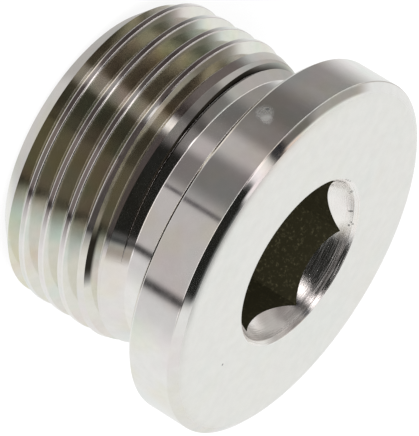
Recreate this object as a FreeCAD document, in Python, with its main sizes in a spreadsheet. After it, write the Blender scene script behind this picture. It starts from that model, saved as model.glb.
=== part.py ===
import FreeCAD, Part

import math
import os

import Sketcher

# Hex socket plug, one turned piece in millimetres.
# +Z runs up the axis from the thread's end face to the collar's face, and the origin is the centre of
# the end face, on which the plug stands. A corner of the hex socket points along +X.

PART_NAME = "plug_body"
VECTOR = FreeCAD.Vector
FULL_TURN = 360

SIZES = [
    ("thread_diameter", 27.0, "major diameter of the right-hand M27 x 2 thread"),
    ("thread_pitch", 2.0, "distance from crest to crest"),
    ("thread_depth", 1.2, "from crest to root"),
    ("thread_root_width", 0.12, "flat at the bottom of the thread groove"),
    ("thread_flank_angle", 30.0, "each flank's lean from the radial plane, in degrees"),
    ("thread_start", 0.64, "height of the first full groove's middle on the +X side"),
    ("shank_length", 16.3, "from the end face to the seat under the collar"),
    ("end_chamfer", 2.1, "45 degree lead-in at the thread's end"),
    ("undercut_depth", 1.5, "from the crests to the floor of the undercut, between thread and seat"),
    ("undercut_length", 3.45, "straight floor of the undercut, up to the seat"),
    ("undercut_angle", 28.0, "lean of the cone that rises from that floor, in degrees"),
    ("runout_drop", 0.57, "how far a more slender cone falls from the crests to meet that cone"),
    ("runout_length", 2.0, "the slender cone, in which the last crests fade"),
    ("undercut_corner", 0.6, "45 degree corner between the undercut's floor and the seat"),
    ("collar_diameter", 32.0, "round collar"),
    ("collar_thickness", 4.9, "from the seat to the face"),
    ("seat_edge_chamfer", 0.4, "broken rim of the seat"),
    ("face_chamfer_width", 0.95, "chamfer round the face, measured along the radius"),
    ("face_chamfer_height", 0.7, "the same chamfer, measured along the axis"),
    ("face_edge_radius", 1.4, "soft edge between the chamfer and the face"),
    ("rim_diameter", 15.2, "mouth of the socket in the face"),
    ("rim_chamfer", 0.3, "45 degree break of that edge"),
    ("mouth_inset", 0.55, "how far the foot of the mouth's steep wall lies inside its rim"),
    ("mouth_depth", 1.1, "foot of that wall, measured from the face"),
    ("mouth_angle", 46.5, "lean of the countersink below it, in degrees"),
    ("mouth_blend_radius", 3.0, "hollow that joins the wall to the countersink"),
    ("socket_width", 12.1, "across the flats, for a 12 mm hex key"),
    ("socket_depth", 9.0, "hex part, measured from the face"),
    ("drill_diameter", 11.8, "pilot hole that the hex was broached into"),
    ("drill_angle", 118.0, "drill point at the bottom, in degrees"),
    ("cut_overlap", 0.2, "how far a cutting profile stands clear of the surface it cuts"),
]

# Lengths that several features share, as expressions on the sheet.
TOTAL = "(Sizes.shank_length + Sizes.collar_thickness)"
THREAD_R = "Sizes.thread_diameter / 2"
UNDERCUT_R = "(Sizes.thread_diameter / 2 - Sizes.undercut_depth)"
COLLAR_R = "Sizes.collar_diameter / 2"
RIM_R = "Sizes.rim_diameter / 2"


def make_sheet(doc):
    """Spreadsheet with one aliased row for each driving size."""
    sheet = doc.addObject("Spreadsheet::Sheet", "Sizes")
    for row, (alias, value, note) in enumerate(SIZES, start=1):
        sheet.set(f"A{row}", alias)
        sheet.set(f"B{row}", str(value))
        sheet.set(f"C{row}", note)
        sheet.setAlias(f"B{row}", alias)
    doc.recompute()
    return sheet


def origin_plane(body, role):
    return next(item for item in body.Origin.OriginFeatures if item.Role == role)


def attach(sketch, body, role):
    sketch.AttachmentSupport = [(origin_plane(body, role), "")]
    sketch.MapMode = "FlatFace"


def polygon_sketch(body, name, points, role="XZ_Plane"):
    """Closed outline whose corners are tied to the sheet, each corner an (across, up) pair of expressions."""
    sketch = body.newObject("Sketcher::SketchObject", name)
    attach(sketch, body, role)
    count = len(points)
    for index in range(count):
        # Placeholder corners on a circle keep the solver on the right side until the sizes are bound.
        here, after = (2 * math.pi * step / count for step in (index, index + 1))
        sketch.addGeometry(Part.LineSegment(VECTOR(20 + math.cos(here), math.sin(here), 0),
                                            VECTOR(20 + math.cos(after), math.sin(after), 0)), False)
    for index in range(count):
        sketch.addConstraint(Sketcher.Constraint("Coincident", index, 2, (index + 1) % count, 1))
    for index, corner in enumerate(points):
        for kind, expression in zip(("DistanceX", "DistanceY"), corner):
            number = sketch.addConstraint(Sketcher.Constraint(kind, -1, 1, index, 1, 1.0))
            sketch.setExpression(f"Constraints[{number}]", expression)
    return sketch


def volume_after_cut(doc, feature, before):
    """Recompute and stop unless the feature removed material."""
    doc.recompute()
    after = feature.Shape.Volume
    if after >= before or math.isclose(after, before, rel_tol=1e-9):
        raise RuntimeError(f"{feature.Label} changed the volume from {before:.3f} to {after:.3f}")
    print(f"{feature.Label} leaves {after:.1f} mm3")
    return after


def circular_edges(feature, radius, height):
    """Names of the circular edges of a feature at a given radius and height."""
    names = []
    for number, edge in enumerate(feature.Shape.Edges, start=1):
        curve = edge.Curve
        if (isinstance(curve, Part.Circle) and math.isclose(curve.Radius, radius, abs_tol=1e-4)
                and math.isclose(curve.Center.z, height, abs_tol=1e-4)):
            names.append(f"Edge{number}")
    if not names:
        raise RuntimeError(f"no edge of radius {radius} at height {height}")
    return names


def turned_blank(body):
    """Shank, undercut and collar, turned from bar: half of the section spun about the axis."""
    cone_foot = "Sizes.shank_length - Sizes.undercut_length"
    cone_top = f"{cone_foot} - (Sizes.undercut_depth - Sizes.runout_drop) / tan(Sizes.undercut_angle)"
    profile = polygon_sketch(body, "BlankProfile", [
        ("0", "0"),
        (f"{THREAD_R} - Sizes.end_chamfer", "0"),
        (THREAD_R, "Sizes.end_chamfer"),
        (THREAD_R, f"{cone_top} - Sizes.runout_length"),
        (f"{THREAD_R} - Sizes.runout_drop", cone_top),
        (UNDERCUT_R, cone_foot),
        (UNDERCUT_R, "Sizes.shank_length - Sizes.undercut_corner"),
        (f"{UNDERCUT_R} + Sizes.undercut_corner", "Sizes.shank_length"),
        (f"{COLLAR_R} - Sizes.seat_edge_chamfer", "Sizes.shank_length"),
        (COLLAR_R, "Sizes.shank_length + Sizes.seat_edge_chamfer"),
        (COLLAR_R, f"{TOTAL} - Sizes.face_chamfer_height"),
        (f"{COLLAR_R} - Sizes.face_chamfer_width", TOTAL),
        ("0", TOTAL),
    ])
    blank = body.newObject("PartDesign::Revolution", "TurnedBlank")
    blank.Profile = profile
    blank.ReferenceAxis = (profile, ["V_Axis"])
    blank.Angle = FULL_TURN
    return blank


def soft_face_edge(body, base, radius, height):
    """Rounding where the chamfer of the collar meets its face."""
    fillet = body.newObject("PartDesign::Fillet", "SoftFaceEdge")
    fillet.Base = (base, circular_edges(base, radius, height))
    fillet.setExpression("Radius", "Sizes.face_edge_radius")
    return fillet


def thread_groove(body):
    """Right-hand helical groove. It starts below the end face, crosses the end chamfer and runs out over
    the undercut's cone into the undercut, whose floor is deeper than the groove's root."""
    root_r = f"({THREAD_R} - Sizes.thread_depth)"
    half_root = "Sizes.thread_root_width / 2"
    half_top = f"({half_root} + (Sizes.thread_depth + Sizes.cut_overlap) * tan(Sizes.thread_flank_angle))"
    start = "(Sizes.thread_start - Sizes.thread_pitch)"
    profile = polygon_sketch(body, "ThreadProfile", [
        (root_r, f"{start} - {half_root}"),
        (f"{THREAD_R} + Sizes.cut_overlap", f"{start} - {half_top}"),
        (f"{THREAD_R} + Sizes.cut_overlap", f"{start} + {half_top}"),
        (root_r, f"{start} + {half_root}"),
    ])
    groove = body.newObject("PartDesign::SubtractiveHelix", "ThreadGroove")
    groove.Profile = profile
    groove.ReferenceAxis = (profile, ["V_Axis"])
    groove.Mode = "pitch-height-angle"
    groove.LeftHanded = False
    groove.setExpression("Pitch", "Sizes.thread_pitch")
    groove.setExpression("Height", f"Sizes.shank_length - Sizes.undercut_length / 2 - {start}")
    return groove


def socket_mouth(body):
    """Broken rim, steep wall, then a countersink that leads the key into the hex."""
    inner = "Sizes.socket_width / 4"
    wall_foot_r = f"({RIM_R} - Sizes.mouth_inset)"
    cone_foot = f"{TOTAL} - Sizes.mouth_depth - ({wall_foot_r} - {inner}) / tan(Sizes.mouth_angle)"
    profile = polygon_sketch(body, "MouthProfile", [
        ("0", TOTAL),
        ("0", cone_foot),
        (inner, cone_foot),
        (wall_foot_r, f"{TOTAL} - Sizes.mouth_depth"),
        (f"{RIM_R} - Sizes.rim_chamfer", f"{TOTAL} - Sizes.rim_chamfer"),
        (RIM_R, TOTAL),
    ])
    mouth = body.newObject("PartDesign::Groove", "SocketMouth")
    mouth.Profile = profile
    mouth.ReferenceAxis = (profile, ["V_Axis"])
    mouth.Angle = FULL_TURN
    return mouth


def mouth_blend(body, mouth, radius, height):
    """Hollow between the mouth's wall and its countersink. It leaves a little metal in the corner."""
    blend = body.newObject("PartDesign::Fillet", "MouthBlend")
    blend.Base = (mouth, circular_edges(mouth, radius, height))
    blend.setExpression("Radius", "Sizes.mouth_blend_radius")
    return blend


def hex_socket(body):
    """Broached hexagon, cut down from the face."""
    corner_r = "Sizes.socket_width / 2 / cos(30)"
    corners = [(f"{corner_r} * cos({angle})", f"{corner_r} * sin({angle})") for angle in range(0, FULL_TURN, 60)]
    profile = polygon_sketch(body, "HexProfile", corners, "XY_Plane")
    profile.setExpression("AttachmentOffset.Base.z", TOTAL)
    socket = body.newObject("PartDesign::Pocket", "HexSocket")
    socket.Profile = profile
    socket.setExpression("Length", "Sizes.socket_depth")
    return socket


def drill_point(body):
    """Cone that the pilot drill left under the hex."""
    floor = f"{TOTAL} - Sizes.socket_depth"
    tip = f"{floor} - Sizes.drill_diameter / 2 / tan(Sizes.drill_angle / 2)"
    profile = polygon_sketch(body, "DrillProfile", [
        ("0", tip),
        ("Sizes.drill_diameter / 2", floor),
        ("Sizes.drill_diameter / 2", f"{floor} + Sizes.cut_overlap"),
        ("0", f"{floor} + Sizes.cut_overlap"),
    ])
    point = body.newObject("PartDesign::Groove", "DrillPoint")
    point.Profile = profile
    point.ReferenceAxis = (profile, ["V_Axis"])
    point.Angle = FULL_TURN
    return point


def build_plug(doc, sheet):
    """The whole plug as one body, in the order in which it is machined."""
    body = doc.addObject("PartDesign::Body", "Plug")
    body.Label = PART_NAME
    blank = turned_blank(body)
    doc.recompute()
    volume = blank.Shape.Volume

    face_edge_r = sheet.collar_diameter / 2 - sheet.face_chamfer_width
    total = sheet.shank_length + sheet.collar_thickness
    volume = volume_after_cut(doc, soft_face_edge(body, blank, face_edge_r, total), volume)

    volume = volume_after_cut(doc, thread_groove(body), volume)
    mouth = socket_mouth(body)
    volume_after_cut(doc, mouth, volume)
    wall_foot_r = sheet.rim_diameter / 2 - sheet.mouth_inset
    blend = mouth_blend(body, mouth, wall_foot_r, total - sheet.mouth_depth)
    doc.recompute()
    volume = blend.Shape.Volume
    for cut in (hex_socket, drill_point):
        volume = volume_after_cut(doc, cut(body), volume)
    return body


def check_document(doc):
    for item in doc.Objects:
        if "Invalid" in item.State or "Error" in item.State:
            raise RuntimeError(f"{item.Label} failed: {item.State}")


def export(body):
    shape = body.Shape
    if shape.isNull() or not shape.isValid() or len(shape.Solids) != 1:
        raise RuntimeError(f"{body.Label} is not one valid solid")
    os.makedirs("parts", exist_ok=True)
    shape.exportStep(os.path.join("parts", f"{body.Label}.step"))
    box = shape.optimalBoundingBox(False, False)
    print(f"{body.Label}: {box.XLength:.2f} x {box.YLength:.2f} x {box.ZLength:.2f} mm, "
          f"{shape.Volume:.1f} mm3, {len(shape.Faces)} faces")


document = FreeCAD.newDocument("HexSocketPlug")
sizes = make_sheet(document)
plug = build_plug(document, sizes)
check_document(document)
export(plug)
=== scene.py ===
# %% [markdown]
# Hex socket plug
#
# A screw plug closes a threaded port. One bar of steel is turned to a collar, an undercut and a shank,
# a thread is cut on the shank, a hexagon is pressed into the collar's face, and the whole piece is
# plated with a thin layer of bright zinc. This lesson makes it as a machine shop does, cut by cut, and
# then spends its care on the metal, because a plain bright part is mostly the room that it reflects.
#
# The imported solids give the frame. It is in metres, +Z runs up the axis to the collar's face, and the
# plug stands on the flat end of its shank.

import math

import bpy
from mathutils import Matrix, Vector


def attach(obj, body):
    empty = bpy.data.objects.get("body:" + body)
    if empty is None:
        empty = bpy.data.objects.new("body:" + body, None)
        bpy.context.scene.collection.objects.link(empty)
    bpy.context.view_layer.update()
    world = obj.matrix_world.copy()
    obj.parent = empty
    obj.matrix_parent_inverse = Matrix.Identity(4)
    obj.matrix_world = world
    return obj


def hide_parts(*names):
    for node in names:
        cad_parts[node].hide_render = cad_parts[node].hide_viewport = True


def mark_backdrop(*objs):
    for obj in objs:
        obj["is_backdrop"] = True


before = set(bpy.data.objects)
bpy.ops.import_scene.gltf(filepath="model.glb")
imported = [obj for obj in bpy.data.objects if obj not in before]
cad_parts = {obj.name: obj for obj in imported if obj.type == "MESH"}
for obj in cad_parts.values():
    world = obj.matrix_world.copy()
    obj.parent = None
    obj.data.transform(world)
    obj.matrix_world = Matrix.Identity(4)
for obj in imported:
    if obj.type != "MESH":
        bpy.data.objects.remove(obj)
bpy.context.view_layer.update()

# %% [markdown]
# The camera
#
# The picture looks along the plug from above its collar, turned so that the axis runs down to the
# right. The axis of the view is therefore built from three directions: right, down and forward in the
# picture, each written in the plug's own frame. A long lens from half a metre keeps the thread's turns
# nearly parallel.

# %% Camera
RIGHT = Vector((-0.5033, 0.3766, 0.7778))
DOWN = Vector((0.8625, 0.1624, 0.4794))
FORWARD = Vector((0.0542, 0.9121, -0.4065))
FACE_CENTRE = Vector((0, 0, 0.0212))
DISTANCE = 0.4769
LENS_MM = 495
FACE_RIGHT, FACE_DOWN = 0.007275, 0.003553


def add_camera():
    """Camera whose picture puts the face's centre a little right of and below the middle."""
    place = FACE_CENTRE - FACE_RIGHT * RIGHT - FACE_DOWN * DOWN - DISTANCE * FORWARD
    columns = (RIGHT.normalized(), -DOWN.normalized(), -FORWARD.normalized())
    bpy.ops.object.camera_add(location=place, rotation=Matrix(columns).transposed().to_euler())
    camera = bpy.context.object
    camera.name = "camera"
    camera.data.lens = LENS_MM
    camera.data.sensor_width = 36
    camera.data.clip_start = 0.01
    camera.data.clip_end = 20
    bpy.context.scene.camera = camera
    return camera


camera = add_camera()
bpy.context.scene.view_settings.view_transform = "Standard"
print("camera at", [round(value, 4) for value in camera.location])

# %% [markdown]
# Tools for the bench
#
# Every round form here starts as a half section: a chain of points (radius, height) that is drawn by
# extruding one point after another and then spun about the axis, as in a lathe. The lengths are in
# millimetres, as on the workshop drawing, and the finished piece is brought to metres once, at the end.
# A corner that the tool or the tumbling drum has softened is written into the section as a short arc,
# so that its highlight comes from real geometry.

# %% Half sections


def select_none():
    if bpy.context.object and bpy.context.object.mode != "OBJECT":
        bpy.ops.object.mode_set(mode="OBJECT")
    bpy.ops.object.select_all(action="DESELECT")


def make_active(piece):
    select_none()
    piece.select_set(True)
    bpy.context.view_layer.objects.active = piece


def rounded(points, radii, steps=6):
    """The chain with an arc of the given radius in place of each corner that has one."""
    chain = [points[0]]
    for before, corner, after, radius in zip(points, points[1:], points[2:], radii):
        here = Vector(corner)
        back = (Vector(before) - here).normalized()
        ahead = (Vector(after) - here).normalized()
        if not radius:
            chain.append(corner)
            continue
        half = back.angle(ahead) / 2
        middle = here + (back + ahead).normalized() * radius / math.sin(half)
        start = here + back * radius / math.tan(half) - middle
        turn = (math.pi - 2 * half) * (1 if back.x * ahead.y - back.y * ahead.x < 0 else -1)
        for step in range(steps + 1):
            spoke = start.copy()
            spoke.rotate(Matrix.Rotation(turn * step / steps, 2))
            chain.append(tuple(middle + spoke))
    chain.append(points[-1])
    return chain


def draw_chain(name, points):
    """Chain of edges in the XZ plane, drawn point by point from one vertex."""
    select_none()
    bpy.ops.mesh.primitive_plane_add(size=1, location=(0, 0, 0))
    piece = bpy.context.object
    piece.name = name
    bpy.ops.object.mode_set(mode="EDIT")
    bpy.ops.mesh.select_all(action="SELECT")
    bpy.ops.mesh.merge(type="CENTER")
    bpy.ops.transform.translate(value=(points[0][0], 0, points[0][1]))
    for (r0, z0), (r1, z1) in zip(points, points[1:]):
        bpy.ops.mesh.extrude_region_move(TRANSFORM_OT_translate={"value": (r1 - r0, 0, z1 - z0)})
    bpy.ops.object.mode_set(mode="OBJECT")
    return piece


print("a soft corner takes", len(rounded([(0, 0), (1, 0), (1, 1)], [0.2])) - 2, "points")

# %% [markdown]
# Turning and cutting
#
# Spinning the chain once round gives the skin of a turned part. The seam and the points on the axis are
# welded afterwards. A cut is a Boolean difference with the exact solver, because the tools here meet the
# metal along long shallow faces. It leaves a few slivers, which a slightly wider weld removes.

# %% Turning and cutting
TURN = 2 * math.pi
MERGE = 0.0005
SLIVER = 0.004


def weld(distance):
    """In edit mode, join the points that lie closer than the distance and turn all faces outward."""
    bpy.ops.mesh.select_all(action="SELECT")
    bpy.ops.mesh.remove_doubles(threshold=distance)
    bpy.ops.mesh.normals_make_consistent(inside=False)


def turn_round(piece, steps):
    """Spin the half section about the axis and close its seam and poles."""
    make_active(piece)
    bpy.ops.object.mode_set(mode="EDIT")
    bpy.ops.mesh.select_all(action="SELECT")
    bpy.ops.mesh.spin(steps=steps, angle=TURN, center=(0, 0, 0), axis=(0, 0, 1))
    weld(MERGE)
    bpy.ops.object.mode_set(mode="OBJECT")
    return piece


def cut(piece, tool):
    """Take the tool's form out of the piece and put the tool away."""
    make_active(piece)
    knife = piece.modifiers.new("cut", "BOOLEAN")
    knife.operation = "DIFFERENCE"
    knife.solver = "EXACT"
    knife.object = tool
    before = len(piece.data.polygons)
    bpy.ops.object.modifier_apply(modifier=knife.name)
    bpy.data.objects.remove(tool)
    bpy.ops.object.mode_set(mode="EDIT")
    weld(SLIVER)
    bpy.ops.object.mode_set(mode="OBJECT")
    print(piece.name, "cut, faces", before, "to", len(piece.data.polygons))


print("welds at", MERGE, "mm, and at", SLIVER, "mm after a cut")

# %% [markdown]
# The blank
#
# On the lathe the bar becomes a shank with a chamfered end, an undercut that lets the thread run out,
# and a collar. The undercut has a steep cone at its foot and a more slender one above it, where the
# last crests fade. The face keeps a very soft outer edge. The bore, its countersink and the drill point
# are in the same half section, so the blank is one closed skin.

# %% Blank
TOTAL = 21.2
SEAT = 16.3
CREST_R = 13.5
COLLAR_R = 16
TURNING_STEPS = 288

# Radius, height and soft edge of each corner of the half section.
OUTSIDE = [
    (0, 0, 0),
    (11.4, 0, 0.15),
    (CREST_R, 2.1, 0),
    (CREST_R, 9.1, 0),
    (12.93, 11.1, 0.4),
    (12, 12.85, 0.3),
    (12, 15.7, 0),
    (12.6, SEAT, 0),
    (15.6, SEAT, 0.12),
    (COLLAR_R, 16.7, 0.2),
    (COLLAR_R, 20.5, 0.18),
    (15.05, TOTAL, 2.2),
    (7.6, TOTAL, 0.12),
    (7.3, 20.9, 0.25),
    (7.05, 20.1, 3.0),
    (5.9, 19.01, 0),
    (5.9, 12.18, 0),
    (0, 8.65, 0),
]


def make_blank():
    corners = [(r, z) for r, z, soft in OUTSIDE]
    section = rounded(corners, [soft for r, z, soft in OUTSIDE[1:-1]])
    return turn_round(draw_chain("plug", section), TURNING_STEPS)


plug = make_blank()
print("blank", len(plug.data.polygons), "faces")

# %% [markdown]
# The thread
#
# A die cuts the M27 x 2 thread: a ring whose inner wall carries the thread's form. One pitch of that
# form is a short chain from crest to crest, with a rounded root and softly broken crest edges, and the
# Screw modifier sweeps it up the helix. The crest of the die lies a hair below the blank, so that the
# whole land is cut and gets its soft edges too. A plain outer wall is joined to it at both ends. The die
# reaches past the end face, and above the undercut it meets no metal, so the groove runs out there.

# %% Thread
PITCH = 2.0
ROOT_R = 12.3
DIE_CREST_R = 13.49
THREAD_STEPS = 180
FIRST_GROOVE = 0.64
FLANK_LEAN = math.radians(30)
ROOT_HALF = 0.06
CREST_SOFT, ROOT_SOFT = 0.13, 0.05
DIE_TURNS = 9
DIE_OUTSIDE_R = 15


def die_form():
    """One pitch of the thread from the middle of a crest to the next, its groove in the middle."""
    reach = (CREST_R - ROOT_R) * math.tan(FLANK_LEAN) + ROOT_HALF
    groove = FIRST_GROOVE - 2 * PITCH
    corners = [
        (DIE_CREST_R, groove - PITCH / 2),
        (DIE_CREST_R, groove - reach),
        (ROOT_R, groove - ROOT_HALF),
        (ROOT_R, groove + ROOT_HALF),
        (DIE_CREST_R, groove + reach),
        (DIE_CREST_R, groove + PITCH / 2),
    ]
    return rounded(corners, [CREST_SOFT, ROOT_SOFT, ROOT_SOFT, CREST_SOFT])


def sweep_up(piece):
    make_active(piece)
    helix = piece.modifiers.new("helix", "SCREW")
    helix.axis = "Z"
    helix.angle = TURN
    helix.screw_offset = PITCH
    helix.iterations = DIE_TURNS
    helix.steps = THREAD_STEPS
    helix.render_steps = THREAD_STEPS
    helix.use_merge_vertices = False
    bpy.ops.object.modifier_apply(modifier=helix.name)


def select_open_edges(piece, low, high):
    """Leave edit mode on, with the open edges between two heights selected."""
    bpy.ops.mesh.select_mode(type="EDGE")
    bpy.ops.mesh.select_all(action="DESELECT")
    bpy.ops.mesh.select_non_manifold(extend=False)
    bpy.ops.object.mode_set(mode="OBJECT")
    for edge in piece.data.edges:
        if edge.select:
            edge.select = low < piece.data.vertices[edge.vertices[0]].co.z < high
    bpy.ops.object.mode_set(mode="EDIT")


def make_die():
    """Inner wall with the thread and outer wall, swept up the same helix and bridged at both ends."""
    wall = die_form()
    inner = draw_chain("die", wall)
    sweep_up(inner)
    outer = draw_chain("die_outside", [(DIE_OUTSIDE_R, wall[0][1]), (DIE_OUTSIDE_R, wall[-1][1])])
    sweep_up(outer)
    make_active(inner)
    outer.select_set(True)
    bpy.ops.object.join()
    bpy.ops.object.mode_set(mode="EDIT")
    bpy.ops.mesh.select_all(action="SELECT")
    bpy.ops.mesh.remove_doubles(threshold=MERGE)
    for low, high in ((-10, 0), (10, 20)):
        select_open_edges(inner, low, high)
        bpy.ops.mesh.bridge_edge_loops()
    bpy.ops.mesh.select_all(action="SELECT")
    bpy.ops.mesh.normals_make_consistent(inside=False)
    bpy.ops.object.mode_set(mode="OBJECT")
    return inner


die = make_die()
print("die", len(die.data.polygons), "faces")
cut(plug, die)

# %% [markdown]
# The hexagon
#
# A hexagonal broach is pressed down the bore until it stops at the drill point. Its six long edges are
# a touch blunt, as on the real tool, so the corners of the socket are not razor sharp. Where it passes
# the countersink it leaves the six scallops that mark a broached socket.

# %% Hex socket
SOCKET_WIDTH = 12.1
SOCKET_DEPTH = 9.0
SIXTH = math.radians(60)
ABOVE_FACE = 3
BLUNT = 0.1


def make_broach():
    """Hexagonal bar with a corner along +X, from the socket's floor to above the face."""
    corner = SOCKET_WIDTH / 2 / math.cos(SIXTH / 2)
    height = SOCKET_DEPTH + ABOVE_FACE
    middle = TOTAL - SOCKET_DEPTH + height / 2
    select_none()
    bpy.ops.mesh.primitive_cylinder_add(vertices=6, radius=corner, depth=height, location=(0, 0, middle),
                                        rotation=(0, 0, SIXTH / 2))
    broach = bpy.context.object
    bpy.ops.object.transform_apply(location=True, rotation=True, scale=True)
    bpy.ops.object.mode_set(mode="EDIT")
    bpy.ops.mesh.select_mode(type="EDGE")
    bpy.ops.mesh.select_all(action="DESELECT")
    bpy.ops.object.mode_set(mode="OBJECT")
    for edge in broach.data.edges:
        low, high = (broach.data.vertices[index].co for index in edge.vertices)
        edge.select = abs(low.z - high.z) > 1
    bpy.ops.object.mode_set(mode="EDIT")
    bpy.ops.mesh.bevel(offset=BLUNT, segments=3, affect="EDGES")
    bpy.ops.object.mode_set(mode="OBJECT")
    return broach


cut(plug, make_broach())

# %% [markdown]
# To metres
#
# The drawing is in millimetres and the frame is in metres, so the piece is brought down by a thousand
# about the origin, and the change is applied to the mesh. Faces that meet at a shallow angle are then
# shaded as one surface, and real edges stay edges.

# %% Scale and shading
SMOOTH_UNDER = math.radians(13)


def bring_to_metres(piece):
    make_active(piece)
    bpy.ops.transform.resize(value=(0.001, 0.001, 0.001), center_override=(0, 0, 0))
    bpy.ops.object.transform_apply(location=True, rotation=True, scale=True)
    bpy.ops.object.shade_smooth_by_angle(angle=SMOOTH_UNDER)
    print(piece.name, "size in mm", [round(value * 1000, 2) for value in piece.dimensions])


bring_to_metres(plug)

# %% [markdown]
# Places on the plug
#
# The finish changes with the place: the face is finely matt, the flanks of the thread are duller than
# its crests, and the plating hardly reaches into the socket. A few helpers keep the node trees short.
# Two of them read the Object coordinates as a turner would, as the way out from the axis and as the
# distance from a given turn about it. Turns are in degrees from the line towards the camera.

# %% Node helpers
VIEW_TURN = -93.4


def new_group(name, inputs, outputs):
    """Shader node group with named sockets. Each entry is (name, socket kind, default or None)."""
    group = bpy.data.node_groups.new(name, "ShaderNodeTree")
    for side, sockets in (("INPUT", inputs), ("OUTPUT", outputs)):
        for label, kind, default in sockets:
            socket = group.interface.new_socket(label, in_out=side, socket_type=f"NodeSocket{kind}")
            if default is not None:
                socket.default_value = default
    return group, group.nodes.new("NodeGroupInput"), group.nodes.new("NodeGroupOutput")


def place_group(tree, group, **values):
    node = tree.nodes.new("ShaderNodeGroup")
    node.node_tree = group
    for label, value in values.items():
        feed(tree, value, node.inputs[label.replace("_", " ")])
    return node


def feed(tree, value, socket):
    """Put a number or a colour on the socket, or link an output to it."""
    if isinstance(value, bpy.types.NodeSocket):
        tree.links.new(value, socket)
    elif value is not None:
        socket.default_value = value


def math_node(tree, operation, *values):
    node = tree.nodes.new("ShaderNodeMath")
    node.operation = operation
    for value, socket in zip(values, node.inputs):
        feed(tree, value, socket)
    return node.outputs[0]


def vector_node(tree, operation, *values):
    node = tree.nodes.new("ShaderNodeVectorMath")
    node.operation = operation
    for value, socket in zip(values, node.inputs):
        feed(tree, value, socket)
    return node.outputs["Value" if operation in ("DOT_PRODUCT", "LENGTH") else "Vector"]


def scaled(tree, vector, factor):
    result = vector_node(tree, "SCALE", vector)
    feed(tree, factor, result.node.inputs["Scale"])
    return result


def mix_colour(tree, share, first, second, blend="MIX"):
    node = tree.nodes.new("ShaderNodeMix")
    node.data_type = "RGBA"
    node.blend_type = blend
    feed(tree, share, node.inputs["Factor"])
    feed(tree, first, node.inputs["A"])
    feed(tree, second, node.inputs["B"])
    return node.outputs["Result"]


def soft_step(tree, value, low, high, to_low=0.0, to_high=1.0):
    node = tree.nodes.new("ShaderNodeMapRange")
    node.interpolation_type = "SMOOTHSTEP"
    for label, number in (("Value", value), ("From Min", low), ("From Max", high), ("To Min", to_low),
                          ("To Max", to_high)):
        feed(tree, number, node.inputs[label])
    return node.outputs["Result"]


def noise(tree, vector, scale, detail=2.0, roughness=0.5):
    node = tree.nodes.new("ShaderNodeTexNoise")
    for label, value in (("Vector", vector), ("Scale", scale), ("Detail", detail), ("Roughness", roughness)):
        feed(tree, value, node.inputs[label])
    return node.outputs["Fac"]


def object_place(tree):
    return tree.nodes.new("ShaderNodeTexCoord").outputs["Object"]


def way_out(tree):
    """Level direction from the axis to the place, of length one."""
    return vector_node(tree, "NORMALIZE", vector_node(tree, "MULTIPLY", object_place(tree), (1, 1, 0)))


def near_turn(tree, turn, outer, inner, to_low=0.0, to_high=1.0, wander=0.0):
    """Soft mask that starts at the outer angle from a turn and is full at the inner one."""
    angle = math.radians(turn + VIEW_TURN)
    nearness = vector_node(tree, "DOT_PRODUCT", way_out(tree), (math.cos(angle), math.sin(angle), 0))
    nearness = math_node(tree, "ADD", nearness, wander)
    low, high = (math.cos(math.radians(edge)) for edge in (outer, inner))
    return soft_step(tree, nearness, low, high, to_low, to_high)


print("helpers ready, the camera stands at a turn of", VIEW_TURN)

# %% [markdown]
# Turning marks
#
# A turning tool leaves fine rings. They are noise that changes fast along the section and slowly round
# it, so the coordinates are pressed together round the axis and stretched along radius and height. Both
# groups are used by every finish, each with its own values.

# %% Groups for places and turning marks


def make_lathe_place():
    """Radius and height in millimetres, from the Object coordinates."""
    group, _, out = new_group("lathe place", [], [("Radius", "Float", None), ("Height", "Float", None)])
    place = object_place(group)
    flat = vector_node(group, "MULTIPLY", place, (1000, 1000, 0))
    group.links.new(vector_node(group, "LENGTH", flat), out.inputs["Radius"])
    group.links.new(vector_node(group, "DOT_PRODUCT", place, (0, 0, 1000)), out.inputs["Height"])
    return group


lathe_place = make_lathe_place()


def make_turning_marks():
    """Fine rings: so many to the millimetre, and how fast they change round the axis."""
    inputs = [("Rings per mm", "Float", 12.0), ("Round", "Float", 0.6)]
    group, entry, out = new_group("turning marks", inputs, [("Marks", "Float", None)])
    where = place_group(group, lathe_place)
    round_it = scaled(group, way_out(group), entry.outputs["Round"])
    along = math_node(group, "ADD", where.outputs["Radius"], where.outputs["Height"])
    along = math_node(group, "MULTIPLY", along, entry.outputs["Rings per mm"])
    joined = group.nodes.new("ShaderNodeCombineXYZ")
    group.links.new(along, joined.inputs["Z"])
    total = vector_node(group, "ADD", round_it, joined.outputs["Vector"])
    group.links.new(noise(group, total, 1.0, 3.0, 0.6), out.inputs["Marks"])
    return group


turning_marks = make_turning_marks()
print("groups", lathe_place.name, turning_marks.name)

# %% [markdown]
# Bright zinc
#
# Bright zinc with a clear passivation is a near-white metal with a very faint play of yellow, green and
# pink, which comes from the thin film on it. The colour is therefore a pale metal with three soft
# patches of tint, and a fine mottle over them.

# %% Zinc film
# Shift of the noise, which sets the patches apart, and the tint.
TINTS = (
    (0.0, (0.96, 0.95, 0.70, 1)),
    (3.0, (0.72, 0.93, 0.92, 1)),
    (7.0, (1.0, 0.86, 0.92, 1)),
)
DARKEST, LIGHTEST = 0.965, 1.025


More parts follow.
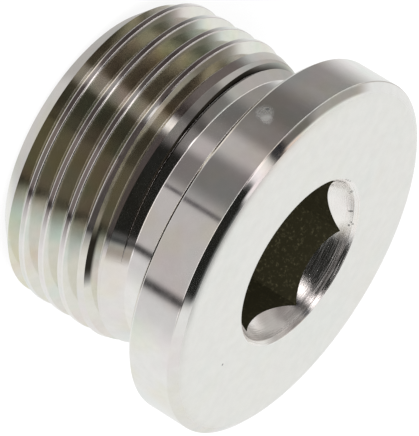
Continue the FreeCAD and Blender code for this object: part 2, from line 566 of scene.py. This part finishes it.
def make_film():
    """Pale metal with soft patches of tint, darkened and lightened a little by a fine mottle."""
    inputs = [("Metal", "Color", (0.88, 0.88, 0.86, 1)), ("Tint", "Float", 0.5),
              ("Patch scale", "Float", 260.0)]
    group, entry, out = new_group("zinc film", inputs, [("Colour", "Color", None)])
    place = object_place(group)
    colour = entry.outputs["Metal"]
    for shift, tint in TINTS:
        moved = vector_node(group, "ADD", place, (shift, shift, shift))
        patch = soft_step(group, noise(group, moved, entry.outputs["Patch scale"]), 0.46, 0.70)
        share = math_node(group, "MULTIPLY", patch, entry.outputs["Tint"])
        colour = mix_colour(group, share, colour, tint, "MULTIPLY")
    mottle = soft_step(group, noise(group, place, 900, 4.0, 0.6), 0.2, 0.8, DARKEST, LIGHTEST)
    group.links.new(scaled(group, colour, mottle), out.inputs["Colour"])
    return group


zinc_film = make_film()
print("group", zinc_film.name)

# %% [markdown]
# Painted shade on the thread
#
# On the side of the shank that faces the camera and mirrors the dark room, the colour carries a brownish
# painted shade, with a narrow painted highlight where the strip light is mirrored. The groove where it
# runs out and a streak on the last flank close under its crest carry painted shade, nearly black. The
# masks for them come from the turn, the radius and the height, with soft or wandering edges, because a
# mark that stopped at the edge of a face would look cut out. Small round marks need only a centre and a
# radius.

# %% Groups for painted shade and round marks
# Turn, half width and soft edge of the brownish painted shade on the camera's side of the thread, and the
# turn of the painted highlight where the strip light is mirrored in it.
SIDE_SHADE_MIDDLE, SIDE_SHADE_HALF, SIDE_SHADE_EDGE = -13, 47, 7
STRIP_HIGHLIGHT_AT = -17
# Middle turn of the painted shade streak under the last crest.
SHADE_STREAK_MIDDLE = 39
# What is measured, where the painted shade streak is still absent and where it is full.
SHADE_STREAK_EDGES = (
    ("Radius", 12.65, 12.95),
    ("Radius", 13.46, 13.34),
    ("Height", 9.1, 9.2),
    ("Height", 10.3, 10.2),
)


def make_spot():
    """Mask of a round mark: its centre in metres, its radius in millimetres, soft over its outer half."""
    group, entry, out = new_group("spot", [("Centre", "Vector", None), ("Radius", "Float", 0.5)],
                                  [("Mask", "Float", None)])
    offset = vector_node(group, "SUBTRACT", object_place(group), entry.outputs["Centre"])
    away = math_node(group, "MULTIPLY", vector_node(group, "LENGTH", offset), 1000)
    inner = math_node(group, "MULTIPLY", entry.outputs["Radius"], 0.5)
    group.links.new(soft_step(group, away, entry.outputs["Radius"], inner), out.inputs["Mask"])
    return group


def make_painted_side_shade():
    """Mask of a brownish painted shade on the thread's camera side, uneven at its edge, eased by a painted
    highlight where the strip light is mirrored.
    """
    group, _, out = new_group("painted side shade", [], [("Mask", "Float", None)])
    wander = math_node(group, "SUBTRACT", noise(group, object_place(group), 300), 0.5)
    wander = math_node(group, "MULTIPLY", wander, 0.12)
    # Painted shade on the side of the thread that faces the camera and mirrors the dark room.
    brown = near_turn(group, SIDE_SHADE_MIDDLE, SIDE_SHADE_HALF + SIDE_SHADE_EDGE, SIDE_SHADE_HALF - SIDE_SHADE_EDGE, wander=wander)
    # Painted highlight: the shade eases to 0.45 where the strip light is mirrored.
    strip_highlight = near_turn(group, STRIP_HIGHLIGHT_AT, 5.5, 1.5, 1.0, 0.45)
    group.links.new(math_node(group, "MULTIPLY", brown, strip_highlight), out.inputs["Mask"])
    return group


def make_painted_groove_shade():
    """Mask of painted shade: a streak on the last flank and the groove where it runs out."""
    group, _, out = new_group("painted groove shade", [], [("Mask", "Float", None)])
    where = place_group(group, lathe_place)
    # Painted shade along the last flank, close under its crest.
    shade_streak = near_turn(group, SHADE_STREAK_MIDDLE, 15.5, 5)
    for label, absent, full in SHADE_STREAK_EDGES:
        shade_streak = math_node(group, "MULTIPLY", shade_streak, soft_step(group, where.outputs[label], absent, full))
    # Painted shade deepening up the groove where it runs out.
    run_out_shade = soft_step(group, where.outputs["Height"], 10.9, 11.7)
    group.links.new(math_node(group, "MAXIMUM", shade_streak, run_out_shade), out.inputs["Mask"])
    return group


spot = make_spot()
painted_side_shade = make_painted_side_shade()
painted_groove_shade = make_painted_groove_shade()
print("groups", spot.name, painted_side_shade.name, painted_groove_shade.name)

# %% [markdown]
# Six finishes
#
# The same plating looks different where the steel under it differs, so one recipe gives six finishes:
# the bright collar and undercut, the finely matt face, the crests of the thread, the soft edges beside
# them, its flanks, which the tool tears a little, and the mouth of the socket. The turning marks change
# the roughness, and as bump they are a fiftieth of a millimetre high at most. The crests and the flanks
# also take a brownish painted shade on the thread's camera side, and the flanks take the painted shade
# of the groove's run-out and of the streak under the last crest.

# %% Zinc finishes
GRAIN_SCALE = 700


def new_material(name):
    material = bpy.data.materials.new(name)
    material.use_nodes = True
    return material, material.node_tree, material.node_tree.nodes["Principled BSDF"]


def zinc_finish(name, metal, tint, roughness, rings=0.0, relief=0.04, patch=260.0, depth=0.02, side_shade_colour=None,
                grain_share=0.2):
    """Zinc over one kind of surface. Rings vary the roughness, relief is the strength of the turning marks,
    and depth is their height in millimetres. The side shade colour is a painted shade that multiplies the
    side of the thread facing the camera."""
    material, tree, shader = new_material(name)
    marks = place_group(tree, turning_marks, Rings_per_mm=12.0, Round=1.2).outputs["Marks"]
    film = place_group(tree, zinc_film, Metal=(*metal, 1), Tint=tint, Patch_scale=patch).outputs["Colour"]
    # Painted shade: the colour is darkened on the side of the thread that faces the camera.
    if side_shade_colour is not None:
        side = place_group(tree, painted_side_shade).outputs["Mask"]
        film = mix_colour(tree, side, film, (*side_shade_colour, 1), "MULTIPLY")
    tree.links.new(film, shader.inputs["Base Color"])
    grain = soft_step(tree, noise(tree, object_place(tree), GRAIN_SCALE, 3.0, 0.6), 0.3, 0.7,
                      roughness * (1 - grain_share), roughness * (1 + grain_share))
    ring = math_node(tree, "MULTIPLY", math_node(tree, "SUBTRACT", marks, 0.5), rings)
    tree.links.new(math_node(tree, "ADD", grain, ring), shader.inputs["Roughness"])
    bump = tree.nodes.new("ShaderNodeBump")
    bump.inputs["Distance"].default_value = depth / 1000
    bump.inputs["Strength"].default_value = relief
    tree.links.new(marks, bump.inputs["Height"])
    tree.links.new(bump.outputs["Normal"], shader.inputs["Normal"])
    shader.inputs["Metallic"].default_value = 1.0
    return material


def repaint(material, share, colour, blend="MIX"):
    """Lay a colour over the one that the finish has so far."""
    tree = material.node_tree
    base = tree.nodes["Principled BSDF"].inputs["Base Color"]
    tree.links.new(mix_colour(tree, share, base.links[0].from_socket, (*colour, 1), blend), base)


bright = zinc_finish("bright_zinc", (0.88, 0.87, 0.86), 0.3, 0.10, rings=0.05)
face_finish = zinc_finish("face_zinc", (0.882, 0.878, 0.855), 0.07, 0.30, rings=0.03, relief=0.01,
                          grain_share=0.05)
# The crests and the flanks take a brownish painted shade on the camera's side of the thread.
crests = zinc_finish("crest_zinc", (0.86, 0.84, 0.83), 0.3, 0.14, rings=0.1, side_shade_colour=(0.36, 0.32, 0.31))
edges = zinc_finish("edge_zinc", (0.93, 0.91, 0.90), 0.1, 0.14)
flanks = zinc_finish("flank_zinc", (0.86, 0.85, 0.80), 0.42, 0.15, rings=0.06, patch=240.0,
                     side_shade_colour=(0.47, 0.45, 0.385))
# Painted shade, nearly black, on the streak and in the groove's run-out.
repaint(flanks, place_group(flanks.node_tree, painted_groove_shade).outputs["Mask"], (0.03, 0.026, 0.02))
mouth = zinc_finish("mouth_zinc", (0.99, 0.97, 0.96), 0.1, 0.13, rings=0.1, relief=1.0, depth=0.012)
print("finishes", [m.name for m in (bright, face_finish, crests, edges, flanks, mouth)])

# %% [markdown]
# The torn mouth
#
# The countersink was cut with a pointed tool, and its rings drag each highlight out across them. Real
# rings that fine would need millions of faces, so anisotropic roughness does it, with a tangent that
# runs round the axis. Near the rim the metal is torn: coarse marks there are darker and scatter part of
# the light.

# %% Light dragged across the mouth
TORN_LOW, TORN_HIGH = 19.9, 20.8
TORN_COLOUR = (0.72, 0.68, 0.66)
TORN_METALLIC_LOSS = 0.17


def drag_light(material):
    """Draw the highlights out across the rings, and tear the metal near the rim."""
    tree = material.node_tree
    shader = tree.nodes["Principled BSDF"]
    marks = place_group(tree, turning_marks, Rings_per_mm=8.0, Round=2.2).outputs["Marks"]
    height = place_group(tree, lathe_place).outputs["Height"]
    near_rim = soft_step(tree, height, TORN_LOW, TORN_HIGH, 0.2, 1.0)
    torn = math_node(tree, "MULTIPLY", soft_step(tree, marks, 0.48, 0.66), near_rim)
    repaint(material, torn, TORN_COLOUR, "MULTIPLY")
    metallic = math_node(tree, "MULTIPLY_ADD", torn, -TORN_METALLIC_LOSS, 1.0)
    tree.links.new(metallic, shader.inputs["Metallic"])
    shader.inputs["Anisotropic"].default_value = 0.95
    shader.inputs["Anisotropic Rotation"].default_value = 0.25
    round_axis = tree.nodes.new("ShaderNodeTangent")
    round_axis.direction_type = "RADIAL"
    round_axis.axis = "Z"
    tree.links.new(round_axis.outputs["Tangent"], shader.inputs["Tangent"])


drag_light(mouth)
print("light dragged on", mouth.name)

# %% [markdown]
# Marks of use
#
# A plated part from the drum has a few marks: a pale water stain with a dark speck on the collar, a pit
# in the face and some nicks where the broach chipped the socket's mouth. Each is a soft round mask at a
# place that is given by its turn about the axis, its distance from it and its height.

# %% Stains and nicks
WATER_STAIN = (0.86, 0.90, 0.92)
DARK_SPECK = (0.2, 0.21, 0.23)
PIT = (0.2, 0.2, 0.2)
NICK = (0.08, 0.08, 0.08)
# Finish, place as turn, radius and height, size, colour, share and roughness of each stain.
STAINS = (
    (bright, (-31.7, COLLAR_R, 17.7), 1.0, WATER_STAIN, 0.45, 0.5),
    (bright, (-30.2, COLLAR_R, 18.3), 0.6, WATER_STAIN, 0.4, 0.5),
    (bright, (-33.2, COLLAR_R, 17.65), 0.2, DARK_SPECK, 0.8, 0.4),
    (face_finish, (74.9, 10.5, TOTAL), 0.13, PIT, 1.0, None),
)
# Turn, radius, height and size of each nick.
NICKS = (
    (-82, 7.6, 21.18, 0.16),
    (-85.5, 7.6, 21.18, 0.2),
    (-89, 7.6, 21.16, 0.14),
    (-105.8, 7.29, 20.87, 0.12),
    (-107.5, 7.25, 20.72, 0.14),
    (-109.7, 7.2, 20.59, 0.1),
    (-128.3, 7.25, 20.72, 0.12),
    (-128.8, 7.2, 20.58, 0.14),
    (-129, 7.16, 20.45, 0.1),
    (-137.6, 7.27, 20.78, 0.1),
    (-138.7, 7.32, 20.94, 0.1),
    (-140.5, 7.23, 20.65, 0.13),
)


def on_plug(turn, radius, height):
    """A point in metres, from a turn and two lengths in millimetres."""
    angle = math.radians(turn + VIEW_TURN)
    return (radius * math.cos(angle) / 1000, radius * math.sin(angle) / 1000, height / 1000)


def wear(material, centre, radius, colour, share, roughness=None):
    """Lay one round mark over a finish."""
    tree = material.node_tree
    mask = place_group(tree, spot, Centre=centre, Radius=radius).outputs["Mask"]
    mask = math_node(tree, "MULTIPLY", mask, share)
    repaint(material, mask, colour)
    if roughness is not None:
        socket = tree.nodes["Principled BSDF"].inputs["Roughness"]
        before = socket.links[0].from_socket
        gap = math_node(tree, "SUBTRACT", roughness, before)
        tree.links.new(math_node(tree, "MULTIPLY_ADD", mask, gap, before), socket)


for finish, place, size, colour, share, roughness in STAINS:
    wear(finish, on_plug(*place), size, colour, share, roughness)
for *place, size in NICKS:
    wear(mouth, on_plug(*place), size, NICK, 0.75)
print("stains", len(STAINS), "and nicks", len(NICKS))

# %% [markdown]
# The socket's walls
#
# Plating throws little metal into a deep socket, so its walls stay a dull brown grey with a fine grain
# from the broach. They get a material of their own.

# %% Socket


def make_socket_steel():
    material, tree, shader = new_material("socket_steel")
    grain = noise(tree, object_place(tree), 4200, 3.0, 0.7)
    speckle = soft_step(tree, grain, 0.52, 0.75)
    tree.links.new(mix_colour(tree, speckle, (0.030, 0.027, 0.014, 1), (0.10, 0.09, 0.05, 1)),
                   shader.inputs["Base Color"])
    tree.links.new(soft_step(tree, grain, 0.3, 0.7, 0.38, 0.52), shader.inputs["Roughness"])
    shader.inputs["Metallic"].default_value = 0.45
    return material


socket_steel = make_socket_steel()
print("finish", socket_steel.name)

# %% [markdown]
# Which face gets which finish
#
# Every surface of the plug can be told by its place and by how far it leans from upright, so the faces
# are sorted by those two. The limits are lengths in millimetres. A face's lean is the upright part of
# its normal: 1 looks up along the axis, 0 looks straight out from it.

# %% Sorting the faces
FINISHES = (bright, face_finish, crests, edges, flanks, mouth, socket_steel)
SOCKET_R, SOCKET_LOW, SOCKET_HIGH, SOCKET_FLOOR = 7.0, 8, 20.5, 12.5
MOUTH_R, MOUTH_LOW = 7.62, 18.5
FACE_LOW = 21
CHAMFER_HIGH = 2.1
CONES_LOW, GROOVE_END = 9.05, 11.3
UNDERCUT_LOW, UNDERCUT_R = 12.35, 12.2
CREST_LOW_R = 13


def finish_for(face):
    """Sort from the socket outward and then down the shank, with the thread's flanks as what is left."""
    radius = math.hypot(face.center.x, face.center.y) * 1000
    height = face.center.z * 1000
    lean = face.normal.z
    in_socket = radius < SOCKET_R and SOCKET_LOW < height < SOCKET_HIGH
    if in_socket and (lean < 0.1 or height < SOCKET_FLOOR):
        return socket_steel
    if radius < MOUTH_R and height > MOUTH_LOW and lean < 0.985:
        return mouth
    if height > FACE_LOW and lean > 0.9:
        return face_finish
    if CONES_LOW < height < GROOVE_END and 0.2 < lean < 0.4:
        return crests
    on_cones = height > CONES_LOW and 0.2 < lean < 0.55
    on_end_chamfer = height < CHAMFER_HIGH and -0.78 < lean < -0.62
    if height > UNDERCUT_LOW or radius < UNDERCUT_R or on_end_chamfer or on_cones:
        return bright
    if height > GROOVE_END:
        return flanks
    if radius > CREST_LOW_R and abs(lean) < 0.06:
        return crests
    if radius > CREST_LOW_R and abs(lean) < 0.82:
        return edges
    return flanks


def finish_plug(piece):
    piece.data.materials.clear()
    for finish in FINISHES:
        piece.data.materials.append(finish)
    count = dict.fromkeys(FINISHES, 0)
    for face in piece.data.polygons:
        finish = finish_for(face)
        face.material_index = FINISHES.index(finish)
        count[finish] += 1
    print({finish.name: number for finish, number in count.items()})


finish_plug(plug)
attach(plug, "root")
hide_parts("plug_body")

# %% [markdown]
# The studio
#
# The plug stands in a white tent on a pale floor. The cloth behind and below it is white, the room on
# the camera's side is dark, and a narrow strip of light stands to the left. A polished part is lit by
# planning what each slope of it mirrors. The ray that a slope sends to the camera's place comes from the
# direction that lies as far beyond the slope's normal as the camera lies before it. So the world adds
# the fixed direction of the main view to each ray and normalises the sum, which gives that normal, and
# reads it as a turn round the plug and a tilt. Soft-edged cards are then laid out on those two angles.

# %% Studio cards
TENT = (0.86, 0.865, 0.85)
# Each card: its name, turn from and to, tilt from and to, edge softness in turn and in tilt, all in
# degrees, and its light. A later card lies over the earlier ones.
CARDS = [
    ("fold of the tent", 34, 110, 14, 70, 10, 12, (0.82, 0.82, 0.80)),
    ("shade on the cloth", 30, 42, -22, 12, 14, 8, (0.66, 0.65, 0.645)),
    ("under the tent", -110, 34, -70, -41, 20, 4, (0.62, 0.60, 0.58)),
    ("under the left", -66, -13, -70, -41, 8, 4, (0.47, 0.45, 0.43)),
    ("room", -60, 30, -22, 44, 9, 8, (0.20, 0.185, 0.18)),
    ("room at the left", -100, -30, 14, 44, 9, 8, (0.46, 0.44, 0.42)),
    ("upper left", -67, -30, 44, 60, 10, 6, (0.40, 0.37, 0.35)),
    ("upper left, near", -41, -22, 44, 60, 6, 6, (0.17, 0.155, 0.14)),
    ("dusk at the left", -68, -28, -22, 12, 20, 8, (0.30, 0.285, 0.275)),
    ("room low left", -44, -29, -22, 12, 10, 8, (0.165, 0.15, 0.145)),
    ("room low right", 0, 30, -22, 12, 8, 8, (0.53, 0.50, 0.49)),
    ("opening", -12, 27.5, 20, 60, 6, 5, (0.012, 0.012, 0.010)),
    ("ceiling", -12, 29, 48, 70, 6, 24, (0.014, 0.014, 0.012)),
    ("strip light", -19, -13, 36, 60, 3, 4, (1.0, 0.97, 0.96)),
    ("strip on the run-out", -19.5, -15, 11, 25, 3, 3, (1.7, 1.58, 1.56)),
    ("haze on the run-out", 30, 37, 22, 34, 6, 4, (0.36, 0.33, 0.28)),
    ("shade on the run-out", -42, -22, 24, 33, 6, 4, (0.185, 0.17, 0.16)),
    ("blot on the run-out", -26, -22.5, 12, 27, 3, 3, (0.07, 0.062, 0.057)),
    ("long lamp", -20, -7, 58, 78, 5, 4, (0.98, 0.92, 0.91)),
    ("dark patch", -28, -21.5, 28, 68, 2.5, 8, (0.02, 0.02, 0.025)),
    ("warm patch", -35, -28, 60, 74, 4, 4, (0.85, 0.70, 0.60)),
    ("strip light below", -22, -14, -3.2, 12, 5, 3, (0.48, 0.45, 0.44)),
    ("strip on the flanks", -23, -13, -22, -3.2, 6, 2.5, (1.0, 0.90, 0.78)),
    ("strip on the mouth", -20.5, -11.5, 34, 48, 5, 3, (1.6, 1.5, 1.47)),
    ("shade on the mouth", -46, -31, 34, 47, 7, 3, (0.27, 0.245, 0.235)),
    ("left of the mouth", -110, -62, 34, 47, 12, 3, (0.72, 0.69, 0.66)),
    ("edge light", -66, 34, 6, 11, 6, 2, (1.7, 1.62, 1.58)),
    ("floor light", -66, 34, -39, -27, 6, 4, (0.80, 0.76, 0.74)),
    ("flag", 27.5, 30.5, -22, 46, 2.5, 6, (0.05, 0.048, 0.048)),
    ("line", 1.2, 2.6, -20, 4, 1, 3, (0.09, 0.08, 0.085)),
]


def make_card():
    """Mask of one card, from the two angles of the slope and the card's limits."""
    labels = ("Turn", "Tilt", "From", "To", "Low", "High", "Turn edge", "Tilt edge")
    inputs = [(label, "Float", None) for label in labels]
    group, entry, out = new_group("card", inputs, [("Mask", "Float", None)])
    sides = []
    for angle, limits in (("Turn", ("From", "To")), ("Tilt", ("Low", "High"))):
        half = math_node(group, "MULTIPLY", entry.outputs[f"{angle} edge"], 0.5)
        for limit, sign in zip(limits, (1, -1)):
            past = math_node(group, "SUBTRACT", entry.outputs[angle], entry.outputs[limit])
            past = math_node(group, "MULTIPLY", past, sign)
            sides.append(soft_step(group, past, math_node(group, "MULTIPLY", half, -1.0), half))
    mask = sides[0]
    for side in sides[1:]:
        mask = math_node(group, "MULTIPLY", mask, side)
    group.links.new(mask, out.inputs["Mask"])
    return group


card = make_card()
print("group", card.name, "for", len(CARDS), "cards")

# %% [markdown]
# The world
#
# The world lays the cards over the tent for the rays that the metal mirrors. What lights the plug
# diffusely is plain pale grey, and the camera sees white behind it.

# %% World
DEGREES = 180 / math.pi
TOWARDS_CAMERA = -FORWARD.normalized()
FRONT = Vector((TOWARDS_CAMERA.x, TOWARDS_CAMERA.y, 0)).normalized()
SIDE = Vector((-FRONT.y, FRONT.x, 0))
UP = Vector((0, 0, 1))


def make_world():
    world = bpy.data.worlds.new("studio")
    bpy.context.scene.world = world
    world.use_nodes = True
    tree = world.node_tree
    ray = tree.nodes.new("ShaderNodeTexCoord").outputs["Generated"]
    slope = vector_node(tree, "NORMALIZE", vector_node(tree, "ADD", ray, TOWARDS_CAMERA))
    aside, ahead, up = (vector_node(tree, "DOT_PRODUCT", slope, way) for way in (SIDE, FRONT, UP))
    turn = math_node(tree, "MULTIPLY", math_node(tree, "ARCTAN2", aside, ahead), DEGREES)
    tilt = math_node(tree, "MULTIPLY", math_node(tree, "ARCSINE", up), DEGREES)
    colour = (*TENT, 1)
    for name, start, end, low, high, turn_edge, tilt_edge, light in CARDS:
        node = place_group(tree, card, Turn=turn, Tilt=tilt, From=start, To=end, Low=low, High=high,
                           Turn_edge=turn_edge, Tilt_edge=tilt_edge)
        node.label = name
        colour = mix_colour(tree, node.outputs["Mask"], colour, (*light, 1))
    path = tree.nodes.new("ShaderNodeLightPath")
    shown = mix_colour(tree, path.outputs["Is Glossy Ray"], (0.9, 0.9, 0.9, 1), colour)
    shown = mix_colour(tree, path.outputs["Is Camera Ray"], shown, (1, 1, 1, 1))
    tree.links.new(shown, tree.nodes["Background"].inputs["Color"])
    return world


print("world", make_world().name)

# %% [markdown]
# The floor and the lamp
#
# The floor is a wide pale disc under the end of the shank. To the camera it is almost pure white and
# keeps a trace of the plug's shadow. Mirrored rays pass it by, so that the metal shows the tent. One
# large soft lamp gives that shadow and lights the matt parts.

# %% Floor and lamp
FLOOR_RADIUS = 3
FLOOR_GLOW = 0.88
LAMP_PLACE = Vector((0.06, -0.38, 0.55))
LAMP_SIZE = 0.5
LAMP_ENERGY = 9.0


def make_floor():
    select_none()
    bpy.ops.mesh.primitive_circle_add(vertices=96, radius=FLOOR_RADIUS, fill_type="NGON", location=(0, 0, 0))
    floor = bpy.context.object
    floor.name = "floor"
    material, tree, shader = new_material("floor_paper")
    shader.inputs["Base Color"].default_value = (0.85, 0.85, 0.85, 1)
    shader.inputs["Roughness"].default_value = 0.9
    shader.inputs["Specular IOR Level"].default_value = 0.0
    glow = tree.nodes.new("ShaderNodeEmission")
    mix = tree.nodes.new("ShaderNodeMixShader")
    path = tree.nodes.new("ShaderNodeLightPath")
    share = math_node(tree, "MULTIPLY", path.outputs["Is Camera Ray"], FLOOR_GLOW)
    tree.links.new(share, mix.inputs["Fac"])
    tree.links.new(shader.outputs["BSDF"], mix.inputs[1])
    tree.links.new(glow.outputs["Emission"], mix.inputs[2])
    tree.links.new(mix.outputs["Shader"], tree.nodes["Material Output"].inputs["Surface"])
    floor.data.materials.append(material)
    floor.visible_glossy = False
    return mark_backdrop(floor)


def make_lamp():
    select_none()
    aim = (-LAMP_PLACE).to_track_quat("-Z", "Y").to_euler()
    bpy.ops.object.light_add(type="AREA", location=LAMP_PLACE, rotation=aim)
    lamp = bpy.context.object
    lamp.name = "soft lamp"
    lamp.data.shape = "DISK"
    lamp.data.size = LAMP_SIZE
    lamp.data.energy = LAMP_ENERGY
    lamp.visible_glossy = False
    return lamp


make_floor()
lamp = make_lamp()
print("floor laid,", lamp.name, "at", [round(value, 2) for value in lamp.location])

# %% Done
print("scene built")
